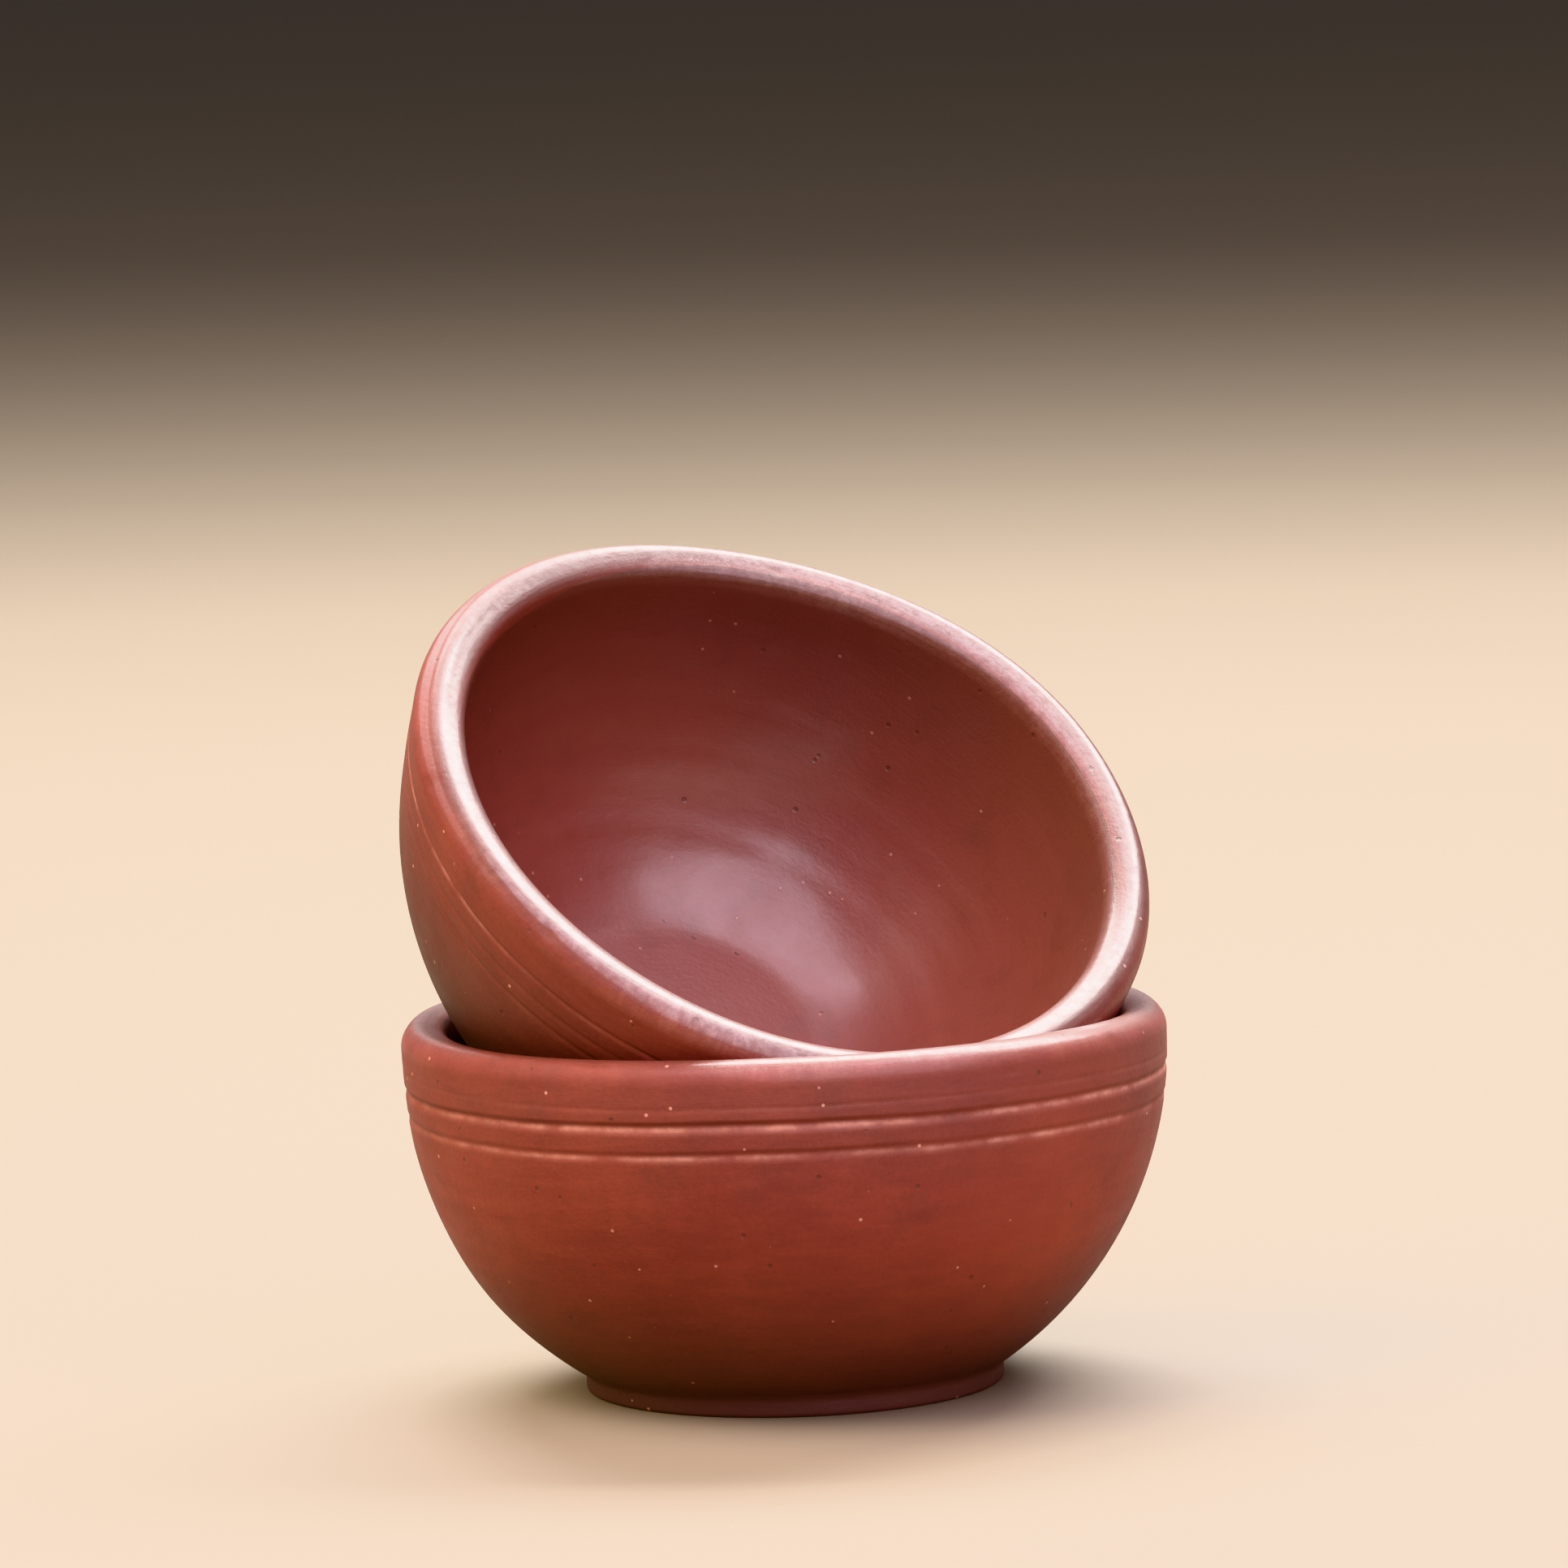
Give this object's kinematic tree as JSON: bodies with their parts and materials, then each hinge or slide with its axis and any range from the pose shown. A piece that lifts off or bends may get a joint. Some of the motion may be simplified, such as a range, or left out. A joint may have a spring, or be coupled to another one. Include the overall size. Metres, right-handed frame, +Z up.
{
  "type": "pair of clay bowls",
  "caption": "Round burnished terracotta bowls on low feet, with thick rounded lips and cut lines round the collar, one leaning in the other's mouth.",
  "frame": {"origin": "middle of the standing bowl's flat base, on the surface that it stands on", "axes": "+Z up along the standing bowl's axis; the picture looks along +Y with +X to the right; the leaning bowl's mouth faces +X and -Y, tilted up"},
  "size_m": [0.13, 0.13, 0.1404],
  "materials": {
    "clay_lower": "unglazed, burnished, soft satin",
    "clay_upper": "unglazed, burnished, soft satin"
  },
  "bodies": {
    "lower_bowl": {"lower_bowl": "clay_lower"},
    "upper_bowl": {"upper_bowl": "clay_upper"}
  },
  "joints": [
    {"name": "lift_off", "type": "slide", "parent": "lower_bowl", "child": "upper_bowl", "axis": [0, 0, 1], "range_m": [0, 0.06]}
  ]
}
